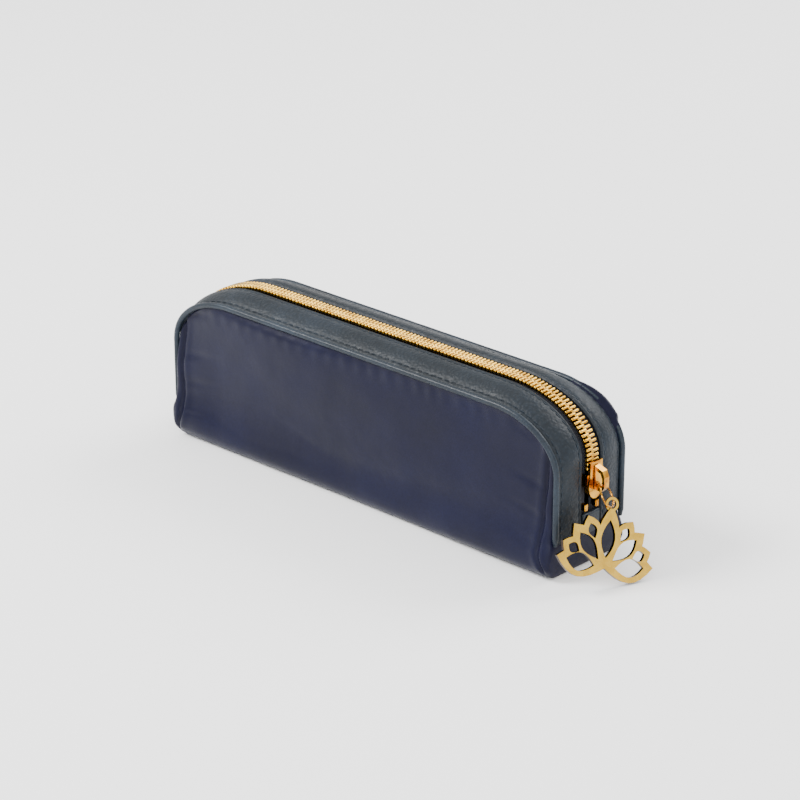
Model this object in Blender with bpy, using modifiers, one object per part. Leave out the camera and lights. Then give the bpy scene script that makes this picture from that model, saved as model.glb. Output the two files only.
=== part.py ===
"""Soft zippered pouch with a charm on its zip slider.

Metres, +Z up. The origin is the centre of the underside. X runs along the pouch, with the closed
end of the zip at +X, and -Y is the front. Soft walls are sheets with a real thickness.
"""
import math

import bmesh
import bpy
from mathutils import Matrix, Vector

MM = 0.001
COLLECTION = "zippered_pouch"

# Driving dimensions
LENGTH = 185 * MM
HALF_LENGTH = LENGTH / 2
GAP = 0.3 * MM

# Ridge: the line that the zip follows over the top and down both ends
RIDGE_TOP = 60.5 * MM
RIDGE_CORNER = (34 * MM, 20 * MM)

# Seam: the line where the leather bands meet the front and back panels
SEAM_INSET = 1 * MM
SEAM_TOP = 56.5 * MM
SEAM_CORNER = (28 * MM, 19 * MM)

# Leather bands, piping and zip
BAND_INNER = 4.8 * MM
BAND_OUTER = 15.6 * MM
BAND_THICKNESS = 1.4 * MM
BAND_FOOT = 13 * MM
PIPING_Y = 17 * MM
PIPING_RADIUS = 1.1 * MM
TAPE_DEPTH = 1.9 * MM
TAPE_THICKNESS = 0.6 * MM
TAPE_OUTER = 9 * MM
TAPE_FOOT = 15.5 * MM
TAPE_SPREAD = 1.9 * MM
CHAIN_HALF_WIDTH = 2.9 * MM
CHAIN_HEIGHT = 0.6 * MM
CHAIN_THICKNESS = 2.2 * MM
CHAIN_FOOT = 33 * MM

# Nylon, foam and lining
PANEL_Y = 16.9 * MM
PANEL_BULGE = 1.8 * MM
PANEL_THICKNESS = 0.8 * MM
PANEL_BOTTOM = 0.3 * MM
PANEL_HEM = 1.6 * MM
EDGE_ROUND = 6 * MM
EDGE_TUCK = 4 * MM
FOAM_THICKNESS = 1.8 * MM
LINING_THICKNESS = 0.5 * MM
LINING_STAND_OFF = 1.5 * MM
BASE_HALF_WIDTH = 12.2 * MM
END_FLANGE = 6.5 * MM
END_INSET = 3 * MM
END_ROUND = 1.5 * MM
END_Y = 16.6 * MM
NOTCH_HALF_WIDTH = 9.5 * MM
NOTCH_BOTTOM = 16 * MM

# Slider, ring and charm, measured outward from the ridge line at the +X end
SLIDER_NOSE = 26 * MM
SLIDER_TAIL = 39.5 * MM
SLIDER_HALF_WIDTH = 3.7 * MM
BAIL_WIDTH = 2.4 * MM
RING_OUT = 4.4 * MM
RING_HEIGHT = 31.8 * MM
RING_RADIUS = 4.1 * MM
RING_WIRE = 0.4 * MM
RING_YAW = math.radians(22)
RING_TILT = math.radians(33)
CHARM_YAW = math.radians(69)
CHARM_ROLL = math.radians(18)
CHARM_LEAN = math.radians(-20)
CHARM_SCALE = 1.04
CHARM_THICKNESS = 1.6 * MM
EYELET_THICKNESS = 0.7 * MM
EYELET_RADIUS = 2.45 * MM
EYELET_HOLE = 1.55 * MM
EYELET_RISE = 1.05 * MM

STOP_DEPTH = 1.6 * MM
STOP_RISE = 0.5 * MM
TOP_STOP_NEAR = 2 * MM
TOP_STOP_FAR = 3.6 * MM
TOP_STOP_FOOT = 21.6 * MM
BOTTOM_STOP_HALF_WIDTH = 3.2 * MM
BOTTOM_STOP_FOOT = 22 * MM
BOTTOM_STOP_TOP = 25.2 * MM
TAB_DEPTH = 1.5 * MM
TAB_RISE = 0.5 * MM
TAB_HALF_WIDTH = 4.4 * MM
TAB_TOP = 20.4 * MM

COLOURS = {
    "nylon": ((0.035, 0.042, 0.105), 0.42, 0.0),
    "leather": ((0.036, 0.062, 0.085), 0.5, 0.0),
    "piping": ((0.05, 0.08, 0.12), 0.4, 0.0),
    "tape": ((0.015, 0.018, 0.04), 0.85, 0.0),
    "foam": ((0.55, 0.55, 0.52), 0.95, 0.0),
    "lining": ((0.03, 0.035, 0.07), 0.7, 0.0),
    "zip_gold": ((0.86, 0.62, 0.22), 0.25, 1.0),
    "slider_gold": ((0.85, 0.5, 0.14), 0.18, 1.0),
    "charm_gold": ((0.88, 0.68, 0.32), 0.22, 1.0),
}


def clear_scene():
    for item in list(bpy.data.objects):
        bpy.data.objects.remove(item, do_unlink=True)
    for item in list(bpy.data.collections):
        bpy.data.collections.remove(item)


def new_collection(name):
    collection = bpy.data.collections.new(name)
    bpy.context.scene.collection.children.link(collection)
    return collection


def make_material(name, finish):
    colour, roughness, metallic = COLOURS[finish]
    material = bpy.data.materials.new(name)
    material.use_nodes = True
    shader = material.node_tree.nodes["Principled BSDF"]
    shader.inputs["Base Color"].default_value = (*colour, 1)
    shader.inputs["Roughness"].default_value = roughness
    shader.inputs["Metallic"].default_value = metallic
    return material


def add_part(name, mesh, finish, collection):
    part = bpy.data.objects.new(name, mesh)
    part.data.materials.append(make_material(name, finish))
    collection.objects.link(part)
    return part


# Shared shapes

def corner_points(half_length, top, corner, steps=8):
    """The +X top corner, a quarter ellipse from the end up to the top."""
    across, down = corner
    points = []
    for step in range(steps + 1):
        angle = math.radians(90) * step / steps
        x = half_length - across * (1 - math.cos(angle))
        z = top - down * (1 - math.sin(angle))
        points.append((x, z))
    return points


def over_path(half_length, top, corner, left_foot, right_foot, end_steps=3, top_steps=8):
    """A line up the -X end, over the top and down the +X end."""
    right = []
    left = []
    shoulder = top - corner[1]
    for step in range(end_steps):
        share = step / end_steps
        right.append((half_length, right_foot + (shoulder - right_foot) * share))
        left.append((-half_length, left_foot + (shoulder - left_foot) * share))
    bend = corner_points(half_length, top, corner)
    right.extend(bend)
    left.extend((-x, z) for x, z in bend)
    flat = half_length - corner[0]
    middle = [(-flat + 2 * flat * step / top_steps, top) for step in range(1, top_steps)]
    return left + middle + right[::-1]


def outward(path):
    """The outward normal at each point of a path that runs from -X to +X over the top."""
    normals = []
    for index in range(len(path)):
        before = path[max(index - 1, 0)]
        after = path[min(index + 1, len(path) - 1)]
        along = Vector((after[0] - before[0], after[1] - before[1])).normalized()
        normals.append(Vector((-along.y, along.x)))
    return normals


def ridge_path(left_foot, right_foot):
    return over_path(HALF_LENGTH, RIDGE_TOP, RIDGE_CORNER, left_foot, right_foot)


def seam_path(left_foot, right_foot):
    return over_path(HALF_LENGTH - SEAM_INSET, SEAM_TOP, SEAM_CORNER, left_foot, right_foot)


def sheet_mesh(name, rows, skip=None):
    """An open sheet from rows of points, leaving out the cells that skip names."""
    shape = bmesh.new()
    grid = [[shape.verts.new(point) for point in row] for row in rows]
    for i in range(len(grid) - 1):
        for j in range(len(grid[0]) - 1):
            if skip and skip(i, j):
                continue
            corners = (grid[i][j], grid[i][j + 1], grid[i + 1][j + 1], grid[i + 1][j])
            shape.faces.new(corners)
    loose = [vertex for vertex in shape.verts if not vertex.link_faces]
    bmesh.ops.delete(shape, geom=loose, context="VERTS")
    mesh = bpy.data.meshes.new(name)
    shape.to_mesh(mesh)
    shape.free()
    return mesh


def add_sheet(name, rows, thickness, inner_side, finish, collection, skip=None):
    """A wall of even thickness. inner_side points from its outer face to the inside."""
    mesh = sheet_mesh(name, rows, skip)
    outermost = max(mesh.polygons, key=lambda face: -face.center.dot(inner_side))
    if outermost.normal.dot(inner_side) > 0:
        mesh.flip_normals()
    mesh.shade_smooth()
    part = add_part(name, mesh, finish, collection)
    solidify = part.modifiers.new("Thickness", "SOLIDIFY")
    solidify.thickness = thickness
    solidify.offset = -1
    return part


def add_box(name, low, high, bevel, finish, collection):
    shape = bmesh.new()
    bmesh.ops.create_cube(shape, size=1)
    size = Vector(high) - Vector(low)
    bmesh.ops.scale(shape, vec=size, verts=shape.verts)
    mesh = bpy.data.meshes.new(name)
    shape.to_mesh(mesh)
    shape.free()
    part = add_part(name, mesh, finish, collection)
    part.location = (Vector(low) + Vector(high)) / 2
    if bevel:
        rounding = part.modifiers.new("Rounding", "BEVEL")
        rounding.width = bevel
        rounding.segments = 2
    return part


def prism_mesh(name, outline, thickness):
    """A flat outline in local X and Y, as thick as asked along local Z."""
    shape = bmesh.new()
    low = [shape.verts.new((x, y, -thickness / 2)) for x, y in outline]
    face = shape.faces.new(low)
    pulled = bmesh.ops.extrude_face_region(shape, geom=[face])
    moved = [item for item in pulled["geom"] if isinstance(item, bmesh.types.BMVert)]
    bmesh.ops.translate(shape, vec=(0, 0, thickness), verts=moved)
    bmesh.ops.recalc_face_normals(shape, faces=shape.faces)
    mesh = bpy.data.meshes.new(name)
    shape.to_mesh(mesh)
    shape.free()
    return mesh


def combine(part, others, operation):
    """Bake a run of boolean steps into the part's own mesh, and remove the tools."""
    for other in others:
        step = part.modifiers.new("Combine", "BOOLEAN")
        step.operation = operation
        step.solver = "EXACT"
        step.object = other
    depsgraph = bpy.context.evaluated_depsgraph_get()
    mesh = bpy.data.meshes.new_from_object(part.evaluated_get(depsgraph))
    part.modifiers.clear()
    part.data = mesh
    for other in others:
        bpy.data.objects.remove(other, do_unlink=True)


# Walls

def edge_tuck(z):
    """How far the walls curve in towards the base at a height."""
    return EDGE_TUCK * max(1 - z / EDGE_ROUND, 0) ** 2


def flange_start(z):
    """Where an end wall's flange begins, along X."""
    corner = END_INSET + edge_tuck(z) + END_ROUND + 0.5 * MM
    return HALF_LENGTH - max(END_FLANGE, corner)


def seam_half_length(z, inset):
    """How far the front and back panels reach along X at a height."""
    across, down = SEAM_CORNER
    reach = flange_start(z) - GAP - inset
    shoulder = SEAM_TOP - down
    if z > shoulder:
        rise = min((z - shoulder) / (down - PANEL_HEM - inset), 1)
        curve = HALF_LENGTH - SEAM_INSET - PANEL_HEM - inset
        curve -= across * (1 - math.sqrt(1 - rise * rise))
        reach = min(reach, curve)
    return reach


def panel_depth(x, z):
    """Distance of the front panel's outer face from the middle plane."""
    along = min(abs(x) / HALF_LENGTH, 1)
    up = (z / SEAM_TOP - 0.45) / 0.55
    bulge = PANEL_BULGE * (1 - along ** 4) * max(1 - up * up, 0)
    return PANEL_Y - GAP + bulge - edge_tuck(z)


def wall_rows(side, bottom, inset, depth_inside, columns=16, row_count=12):
    """Rows of points for the front (side -1) or back (side +1) wall."""
    top = SEAM_TOP - PANEL_HEM - inset
    rows = []
    for step in range(row_count + 1):
        share = (1 - math.cos(math.pi * step / row_count)) / 2
        z = bottom + (top - bottom) * share
        reach = seam_half_length(z, inset)
        row = []
        for column in range(columns + 1):
            x = reach * (2 * column / columns - 1)
            row.append((x, side * (panel_depth(x, z) - depth_inside), z))
        rows.append(row)
    return rows


def build_long_walls(collection):
    foam_depth = PANEL_THICKNESS + GAP
    lining_depth = foam_depth + FOAM_THICKNESS + GAP
    for label, side in (("front", -1), ("back", 1)):
        inside = Vector((0, -side, 0))
        rows = wall_rows(side, PANEL_BOTTOM, 0, 0)
        add_sheet(label + "_panel", rows, PANEL_THICKNESS, inside, "nylon", collection)
        rows = wall_rows(side, EDGE_ROUND, 2 * MM, foam_depth, 12, 8)
        add_sheet("foam_" + label, rows, FOAM_THICKNESS, inside, "foam", collection)
        rows = wall_rows(side, EDGE_ROUND, 2 * MM, lining_depth, 12, 8)
        add_sheet("lining_" + label, rows, LINING_THICKNESS, inside, "lining", collection)


def build_base(collection):
    """Three flat layers. The nylon one is what the pouch stands on."""
    layers = (
        ("base_panel", 8 * MM, BASE_HALF_WIDTH, 0, 0.9 * MM, "nylon"),
        ("foam_base", 9 * MM, 11.6 * MM, 1.2 * MM, 1.8 * MM, "foam"),
        ("lining_base", 7 * MM, 11.6 * MM, 3.3 * MM, LINING_THICKNESS, "lining"),
    )
    for name, inset, half_width, z, thickness, finish in layers:
        reach = HALF_LENGTH - inset
        low = (-reach, -half_width, z)
        high = (reach, half_width, z + thickness)
        add_box(name, low, high, 0, finish, collection)


def end_plan(z):
    """Plan outline of an end wall at a height, from the front flange round to the back one."""
    radius = END_ROUND
    reach = HALF_LENGTH - END_INSET - edge_tuck(z)
    half_width = END_Y - edge_tuck(z)
    points = [(flange_start(z), -half_width)]
    for step in range(4):
        angle = math.radians(90) * (1 - step / 3)
        x = reach - radius + radius * math.cos(angle)
        y = -half_width + radius - radius * math.sin(angle)
        points.append((x, y))
    points.append((reach, -NOTCH_HALF_WIDTH))
    return points + [(x, -y) for x, y in reversed(points)]


def build_ends(collection):
    """Nylon end walls and their linings, both open behind the zip."""
    heights = (0.3, 1.2, 2.4, 4, 6, 11, 16, 24, 32, 39.5)
    for label, side in (("left", -1), ("right", 1)):
        rows = []
        for height in heights:
            z = height * MM
            rows.append([(side * x, y, z) for x, y in end_plan(z)])
        notch_row = heights.index(16)
        notch_column = len(rows[0]) // 2 - 1

        def skip(i, j):
            return i >= notch_row and j == notch_column

        inside = Vector((-side, 0, 0))
        add_sheet(label + "_end_panel", rows, PANEL_THICKNESS, inside, "nylon", collection, skip)

        x = side * (HALF_LENGTH - END_INSET - PANEL_THICKNESS - LINING_STAND_OFF)
        rows = []
        for z in (4.5 * MM, NOTCH_BOTTOM, 38 * MM):
            rows.append([(x, y * MM, z) for y in (-12, -9.5, 9.5, 12)])

        def skip_lining(i, j):
            return i == 1 and j == 1

        name = "lining_" + label + "_end"
        add_sheet(name, rows, LINING_THICKNESS, inside, "lining", collection, skip_lining)


# Bands, piping and zip

def band_points(y, depth, left_foot, right_foot):
    """A line along the top and ends at a distance y from the middle plane.

    The surface is level at the ridge and falls away to the seam.
    """
    ridge = ridge_path(left_foot, right_foot)
    seam = seam_path(left_foot, right_foot)
    normals = outward(ridge)
    across = max(abs(y) - BAND_INNER, 0) / (BAND_OUTER - BAND_INNER)
    fall = min(across, 1) ** 2
    points = []
    for (rx, rz), (sx, sz), normal in zip(ridge, seam, normals):
        x = rx + (sx - rx) * fall - normal.x * depth
        z = rz + (sz - rz) * fall - normal.y * depth
        points.append((x, y, z))
    return points


def build_bands(collection):
    for label, side in (("front", -1), ("back", 1)):
        rows = []
        for step in range(5):
            y = BAND_INNER + (BAND_OUTER - BAND_INNER) * step / 4
            rows.append(band_points(side * y, 0, BAND_FOOT, BAND_FOOT))
        down = Vector((0, 0, -1))
        add_sheet("band_" + label, rows, BAND_THICKNESS, down, "leather", collection)


def build_piping(collection):
    for label, side in (("front", -1), ("back", 1)):
        path = seam_path(BAND_FOOT, BAND_FOOT)
        curve = bpy.data.curves.new("piping_" + label, "CURVE")
        curve.dimensions = "3D"
        curve.bevel_depth = PIPING_RADIUS
        curve.bevel_resolution = 2
        curve.use_fill_caps = True
        spline = curve.splines.new("POLY")
        spline.points.add(len(path) - 1)
        for point, (x, z) in zip(spline.points, path):
            point.co = (x, side * PIPING_Y, z, 1)
        add_part("piping_" + label, curve, "piping", collection)


def build_tapes(collection):
    """Woven tapes under the chain. The slider's wedge spreads them at the closed end."""
    for label, side in (("front", -1), ("back", 1)):
        inner = band_points(side * 0.2 * MM, TAPE_DEPTH, TAPE_FOOT, TAPE_FOOT)
        spread = []
        for x, y, z in inner:
            at_closed_end = x > 0 and z < CHAIN_FOOT
            spread.append((x, side * TAPE_SPREAD if at_closed_end else y, z))
        rows = [spread]
        for y in (BAND_INNER, TAPE_OUTER):
            rows.append(band_points(side * y, TAPE_DEPTH, TAPE_FOOT, TAPE_FOOT))
        down = Vector((0, 0, -1))
        add_sheet("zip_tape_" + label, rows, TAPE_THICKNESS, down, "tape", collection)


def build_chains(collection):
    """The two closed rows of teeth, each as one flexible strip."""
    for label, side in (("front", -1), ("back", 1)):
        rows = []
        for y in (0.15 * MM, CHAIN_HALF_WIDTH):
            rows.append(band_points(side * y, -CHAIN_HEIGHT, SLIDER_NOSE, CHAIN_FOOT))
        down = Vector((0, 0, -1))
        add_sheet("zip_chain_" + label, rows, CHAIN_THICKNESS, down, "zip_gold", collection)


def build_stops(collection):
    """Two top stops at the closed end, and one bottom stop at the other."""
    for label, side in (("front", -1), ("back", 1)):
        near = side * TOP_STOP_NEAR
        far = side * TOP_STOP_FAR
        low = (HALF_LENGTH - STOP_DEPTH, min(near, far), TOP_STOP_FOOT)
        high = (HALF_LENGTH + STOP_RISE, max(near, far), TOP_STOP_FOOT + STOP_DEPTH + GAP * 3)
        add_box("top_stop_" + label, low, high, 0.3 * MM, "slider_gold", collection)
    low = (-HALF_LENGTH - STOP_RISE, -BOTTOM_STOP_HALF_WIDTH, BOTTOM_STOP_FOOT)
    high = (-HALF_LENGTH + STOP_DEPTH, BOTTOM_STOP_HALF_WIDTH, BOTTOM_STOP_TOP)
    add_box("bottom_stop", low, high, 0.4 * MM, "slider_gold", collection)


def build_tabs(collection):
    """Leather tabs that close the gap between the bands under each zip end."""
    for label, side in (("left", -1), ("right", 1)):
        inner = side * (HALF_LENGTH - TAB_DEPTH)
        outer = side * (HALF_LENGTH + TAB_RISE)
        low = (min(inner, outer), -TAB_HALF_WIDTH, BAND_FOOT)
        high = (max(inner, outer), TAB_HALF_WIDTH, TAB_TOP)
        add_box("zip_tab_" + label, low, high, 0.4 * MM, "leather", collection)


# Slider, ring and charm

def slider_outline():
    """Outline of a slider plate, nose down, in its own X across and Y up."""
    nose = SLIDER_NOSE
    points = []
    for step in range(9):
        angle = math.radians(180 + 22.5 * step)
        x = SLIDER_HALF_WIDTH * math.cos(angle)
        y = nose + 5 * MM + 5 * MM * math.sin(angle)
        points.append((x, y))
    waist = SLIDER_HALF_WIDTH - 0.6 * MM
    points.extend([(waist, nose + 9.5 * MM), (waist, SLIDER_TAIL)])
    points.extend([(-waist, SLIDER_TAIL), (-waist, nose + 9.5 * MM)])
    return points


def end_face_matrix(out):
    """Local X goes to world Y, local Y to world Z, and local Z outward along +X."""
    turn = Matrix(((0, 0, 1, 0), (1, 0, 0, 0), (0, 1, 0, 0), (0, 0, 0, 1)))
    return Matrix.Translation((HALF_LENGTH + out, 0, 0)) @ turn


def loose_part(name, mesh, matrix, finish, collection):
    part = add_part(name, mesh, finish, collection)
    part.matrix_world = matrix
    return part


def build_slider(collection):
    """Two plates joined by a wedge at the nose, with flanges that hold the chain."""
    outline = slider_outline()
    top = prism_mesh("top_plate", outline, 1 * MM)
    body = loose_part("slider_body", top, end_face_matrix(1.4 * MM), "slider_gold", collection)
    extras = []
    lower = prism_mesh("lower_plate", outline, 0.9 * MM)
    matrix = end_face_matrix(-3.6 * MM)
    extras.append(loose_part("lower_plate", lower, matrix, "slider_gold", collection))
    low = (HALF_LENGTH - 3.4 * MM, -1.2 * MM, SLIDER_NOSE + 1.2 * MM)
    high = (HALF_LENGTH + 1.2 * MM, 1.2 * MM, SLIDER_NOSE + 5.5 * MM)
    extras.append(add_box("wedge", low, high, 0, "slider_gold", collection))
    for side in (-1, 1):
        inner = side * 3.15 * MM
        outer = side * 3.65 * MM
        low = (HALF_LENGTH - 1.2 * MM, min(inner, outer), SLIDER_NOSE + 4.5 * MM)
        high = (HALF_LENGTH + 1.1 * MM, max(inner, outer), SLIDER_NOSE + 9 * MM)
        extras.append(add_box("flange", low, high, 0, "slider_gold", collection))
    combine(body, extras, "UNION")
    place_origin(body, (HALF_LENGTH, 0, (SLIDER_NOSE + SLIDER_TAIL) / 2))


def build_bail(collection):
    """The arched bridge on the slider that the ring hangs in."""
    foot = RING_HEIGHT - 2.2 * MM
    head = SLIDER_TAIL - 1.2 * MM
    base = 2.2 * MM
    crown = HALF_LENGTH + 6.4 * MM
    low_x = HALF_LENGTH + base
    outside = [(low_x, foot), (crown - 1.2 * MM, foot), (crown, foot + 1.6 * MM)]
    outside += [(crown, head - 3.4 * MM), (crown - 0.9 * MM, head - 1.2 * MM), (low_x, head)]
    hole = [(low_x, head - 1.6 * MM), (crown - 1.9 * MM, head - 2.2 * MM)]
    hole += [(crown - 1 * MM, head - 3.8 * MM), (crown - 1 * MM, foot + 1.8 * MM)]
    hole += [(crown - 1.6 * MM, foot + 1.2 * MM), (low_x, foot + 1.2 * MM)]
    strip = 0.5 * MM
    hole[0] = (low_x + strip, hole[0][1])
    hole[-1] = (low_x + strip, hole[-1][1])
    turn = Matrix(((1, 0, 0, 0), (0, 0, -1, 0), (0, 1, 0, 0), (0, 0, 0, 1)))
    mesh = prism_mesh("slider_bail", outside, BAIL_WIDTH)
    bail = loose_part("slider_bail", mesh, turn, "slider_gold", collection)
    mesh = prism_mesh("bail_opening", hole, 2 * BAIL_WIDTH)
    opening = loose_part("bail_opening", mesh, turn, "slider_gold", collection)
    combine(bail, [opening], "DIFFERENCE")


def place_origin(part, point):
    """Move an object's origin without moving its shape."""
    target = Matrix.Translation(point)
    part.data.transform(target.inverted() @ part.matrix_world)
    part.matrix_world = target


def build_ring(collection):
    bpy.ops.mesh.primitive_torus_add(
        major_radius=RING_RADIUS, minor_radius=RING_WIRE, major_segments=28, minor_segments=8
    )
    ring = bpy.context.object
    ring.name = "jump_ring"
    for owner in list(ring.users_collection):
        owner.objects.unlink(ring)
    collection.objects.link(ring)
    ring.data.shade_smooth()
    ring.data.materials.append(make_material("jump_ring", "charm_gold"))
    turn = Matrix.Rotation(RING_YAW - math.radians(90), 4, "Z")
    turn = turn @ Matrix.Rotation(math.radians(90), 4, "X")
    ring.matrix_world = ring_hang() @ Matrix.Translation((0, 0, -RING_RADIUS)) @ turn
    place_origin(ring, ring_pivot())


def ring_pivot():
    """Where the ring hangs in the bail."""
    return Vector((HALF_LENGTH + RING_OUT, 0, RING_HEIGHT))


def ring_hang():
    """The pivot, with -Z along the ring towards its lowest point."""
    return Matrix.Translation(ring_pivot()) @ Matrix.Rotation(-RING_TILT, 4, "Y")


def ring_bottom():
    return ring_hang() @ Vector((0, 0, -2 * RING_RADIUS))


def leaf_outline(base, tip, width, widest=0.5, steps=8):
    """A pointed leaf from base to tip. widest is where its belly lies, from 0 to 1."""
    base = Vector(base)
    axis = Vector(tip) - base
    across = Vector((-axis.y, axis.x)).normalized() * width / 2
    power = math.log(0.5) / math.log(widest)
    right = []
    left = []
    for step in range(1, steps):
        share = step / steps
        belly = math.sin(math.pi * share ** power) ** 0.9
        middle = base + axis * share
        right.append(tuple(middle - across * belly))
        left.append(tuple(middle + across * belly))
    return [tuple(base)] + right + [tuple(base + axis)] + left[::-1]


# Petals, outermost layer first: angle from straight up, then where the petal starts and ends,
# its width and belly, then where its hole starts and ends and the hole's width. All in mm.
PETALS = (
    (66, 9, 17.4, 6.6, 0.55, 10.6, 15.1, 3.6),
    (27, 8, 18, 6.2, 0.55, 10.2, 15.4, 3.2),
    (83, 0, 17.6, 9.6, 0.52, 3.8, 14.2, 6),
    (45, 0, 18.2, 9.2, 0.55, 3.6, 14.6, 5),
    (0, 0, 20.2, 8, 0.5, 3.3, 15.6, 5),
)
EYELET_HEIGHT = 20.65 * MM


def petal_outlines():
    """The outline and the hole of every petal and its mirror image, the middle one once."""
    scale = CHARM_SCALE * MM
    for angle, start, end, width, belly, hole_start, hole_end, hole_width in PETALS:
        for side in (-1, 1) if angle else (1,):
            turn = math.radians(angle) * side
            heading = Vector((math.sin(turn), math.cos(turn))) * scale
            outer = leaf_outline(heading * start, heading * end, width * scale, belly)
            hole_ends = (heading * hole_start, heading * hole_end)
            inner = leaf_outline(*hole_ends, hole_width * scale, belly)
            yield outer, inner


def build_charm(collection):
    """A pierced lotus plate. Local X is across and Y up from the petals' root."""
    turn = Matrix.Rotation(CHARM_YAW, 4, "Z") @ Matrix.Rotation(math.radians(90), 4, "X")
    turn = turn @ Matrix.Rotation(CHARM_LEAN, 4, "X") @ Matrix.Rotation(-CHARM_ROLL, 4, "Z")
    eyelet = ring_bottom() + Vector((0, 0, EYELET_RISE))
    rise = EYELET_HEIGHT * CHARM_SCALE
    place = Matrix.Translation(eyelet) @ turn @ Matrix.Translation((0, -rise, 0))
    petals = []
    holes = []
    for outer, inner in petal_outlines():
        mesh = prism_mesh("petal", outer, CHARM_THICKNESS)
        petals.append(loose_part("petal", mesh, place, "charm_gold", collection))
        mesh = prism_mesh("petal_hole", inner, CHARM_THICKNESS * 3)
        holes.append(loose_part("petal_hole", mesh, place, "charm_gold", collection))
    circle = [math.radians(20 * step) for step in range(18)]
    outline = [(EYELET_RADIUS * math.cos(a), rise + EYELET_RADIUS * math.sin(a)) for a in circle]
    mesh = prism_mesh("eyelet", outline, EYELET_THICKNESS)
    petals.append(loose_part("eyelet", mesh, place, "charm_gold", collection))
    outline = [(EYELET_HOLE * math.cos(a), rise + EYELET_HOLE * math.sin(a)) for a in circle]
    mesh = prism_mesh("eyelet_hole", outline, CHARM_THICKNESS * 3)
    holes.append(loose_part("eyelet_hole", mesh, place, "charm_gold", collection))
    charm = petals[0]
    charm.name = "lotus_charm"
    charm.data.name = "lotus_charm"
    combine(charm, petals[1:], "UNION")
    combine(charm, holes, "DIFFERENCE")
    place_origin(charm, ring_bottom())


def main():
    clear_scene()
    collection = new_collection(COLLECTION)
    build_long_walls(collection)
    build_base(collection)
    build_ends(collection)
    build_bands(collection)
    build_piping(collection)
    build_tapes(collection)
    build_chains(collection)
    build_stops(collection)
    build_tabs(collection)
    build_slider(collection)
    build_bail(collection)
    build_ring(collection)
    build_charm(collection)


main()
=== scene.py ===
import math

import bmesh
import bpy
from mathutils import Matrix, Vector, noise


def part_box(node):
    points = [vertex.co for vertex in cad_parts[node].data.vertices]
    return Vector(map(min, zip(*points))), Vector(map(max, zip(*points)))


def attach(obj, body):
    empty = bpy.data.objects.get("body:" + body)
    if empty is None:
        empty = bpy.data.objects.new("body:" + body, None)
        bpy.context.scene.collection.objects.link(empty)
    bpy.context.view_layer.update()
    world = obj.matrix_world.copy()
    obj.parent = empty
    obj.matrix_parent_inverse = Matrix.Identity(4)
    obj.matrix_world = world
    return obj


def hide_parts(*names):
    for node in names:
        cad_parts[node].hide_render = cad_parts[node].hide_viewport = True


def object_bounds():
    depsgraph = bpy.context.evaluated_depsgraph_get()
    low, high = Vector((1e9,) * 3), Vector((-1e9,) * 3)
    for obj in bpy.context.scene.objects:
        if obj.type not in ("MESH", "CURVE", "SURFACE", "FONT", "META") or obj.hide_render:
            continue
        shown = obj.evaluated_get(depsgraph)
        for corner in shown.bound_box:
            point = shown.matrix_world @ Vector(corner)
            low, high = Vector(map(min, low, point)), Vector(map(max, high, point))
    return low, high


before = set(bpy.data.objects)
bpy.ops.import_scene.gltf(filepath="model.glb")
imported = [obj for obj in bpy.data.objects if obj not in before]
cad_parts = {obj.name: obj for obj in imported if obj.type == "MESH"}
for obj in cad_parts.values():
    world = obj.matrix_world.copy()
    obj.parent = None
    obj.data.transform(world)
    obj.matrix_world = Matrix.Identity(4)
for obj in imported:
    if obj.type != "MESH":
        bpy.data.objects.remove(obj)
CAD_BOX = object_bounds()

MM = 0.001

PIPING_RADIUS = 1.1 * MM
PIPING_SIDES = 12
PIPING_END_TAPER = 0.55

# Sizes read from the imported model
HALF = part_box("band_front")[1].x
RIDGE_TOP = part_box("band_front")[1].z
SEAM_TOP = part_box("piping_front")[1].z - PIPING_RADIUS
PIPING_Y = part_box("piping_back")[1].y - PIPING_RADIUS
BAND_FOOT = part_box("band_front")[0].z

# The teeth at the far end start level with the slider's lower edge. Those at the slider's end start
# between its plates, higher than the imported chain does, so that the slider's wedge stays clear.
TEETH_ABOVE_NOSE = 10.4 * MM
CHAIN_LEFT_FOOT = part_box("slider_body")[0].z
CHAIN_RIGHT_FOOT = CHAIN_LEFT_FOOT + TEETH_ABOVE_NOSE

# Outline of the top edge and of the seam beneath it: run along X, run along Z
RIDGE_CORNER = (34 * MM, 20 * MM)
SEAM_CORNER = (28 * MM, 19 * MM)
SEAM_INSET = 1 * MM
END_STEPS = 10
BEND_STEPS = 22
TOP_STEPS = 56

# Leather bands
BAND_INNER = 4.8 * MM
BAND_OUTER = 15.8 * MM
BAND_THICKNESS = 1.3 * MM
STITCH_ROWS = (6.4 * MM, 14.3 * MM)
STITCH_PITCH = 3.1 * MM
STITCH_LENGTH = 2.2 * MM
STITCH_RADIUS = 0.24 * MM
STITCH_FIRST = 0.6
STITCH_LIFT = 0.12 * MM
STITCH_FLATNESS = 0.7
# Share of the stitch's length, share of its radius, and lift in radii
STITCH_STATIONS = (
    (-0.5, 0.35, -0.7), (-0.38, 0.85, -0.1), (0, 1, 0.1), (0.38, 0.85, -0.1), (0.5, 0.35, -0.7),
)
BAND_STEPS = 40
BAND_PAD = 0.42 * MM
BAND_EDGE_BEVEL = 0.35 * MM
BAND_SLACK = 0.1 * MM

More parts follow.
